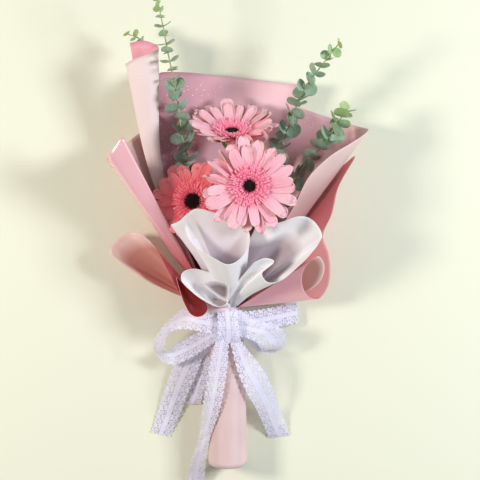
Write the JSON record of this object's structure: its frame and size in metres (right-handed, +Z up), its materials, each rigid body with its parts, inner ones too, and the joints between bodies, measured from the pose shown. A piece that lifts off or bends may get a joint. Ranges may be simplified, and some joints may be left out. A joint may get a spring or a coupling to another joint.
{
  "type": "wrapped flower bouquet",
  "caption": "Bunch of coral pink gerberas and eucalyptus lying on its back, wrapped in two-tone pink paper and white tissue with a paper handle and a lace bow.",
  "frame": {"origin": "middle of the bunch's outline in X and Y, on the surface it lies on", "axes": "+Y from the cut stems to the blooms, +Z up out of the surface, +X to the right of someone looking down on the blooms"},
  "size_m": [0.2664, 0.5102, 0.1101],
  "materials": {
    "pale_paper": "satin",
    "rose_paper": "satin",
    "white_tissue": "matte",
    "lace": "open lace",
    "petal": "soft",
    "frill": "soft",
    "eye": "matte",
    "stem": "soft",
    "leaf": "waxy",
    "tape": "matte"
  },
  "bodies": {
    "root": {"back_sheet": "pale_paper", "right_sheet": "pale_paper", "left_fin": "pale_paper", "handle": "pale_paper", "left_sheet": "rose_paper", "left_flare": "rose_paper", "right_flare": "rose_paper", "white_left": "white_tissue", "white_right": "white_tissue", "white_curl": "white_tissue", "lace_band": "lace", "lace_knot": "lace", "lace_left_loop": "lace", "lace_right_loop": "lace", "lace_upper_loop": "lace", "lace_left_tail": "lace", "lace_short_tail": "lace", "lace_middle_tail": "lace", "lace_right_tail": "lace", "front_bloom_outer_rays": "petal", "front_bloom_inner_rays": "petal", "top_bloom_outer_rays": "petal", "top_bloom_inner_rays": "petal", "left_bloom_outer_rays": "petal", "left_bloom_inner_rays": "petal", "front_bloom_frill": "frill", "top_bloom_frill": "frill", "left_bloom_frill": "frill", "front_bloom_eye": "eye", "top_bloom_eye": "eye", "left_bloom_eye": "eye", "front_bloom_calyx": "stem", "front_bloom_stem": "stem", "top_bloom_calyx": "stem", "top_bloom_stem": "stem", "left_bloom_calyx": "stem", "left_bloom_stem": "stem", "left_tall_sprig": "leaf", "left_back_sprig": "leaf", "right_tall_sprig": "leaf", "right_small_sprig": "leaf", "binding_tape": "tape"}
  },
  "joints": []
}
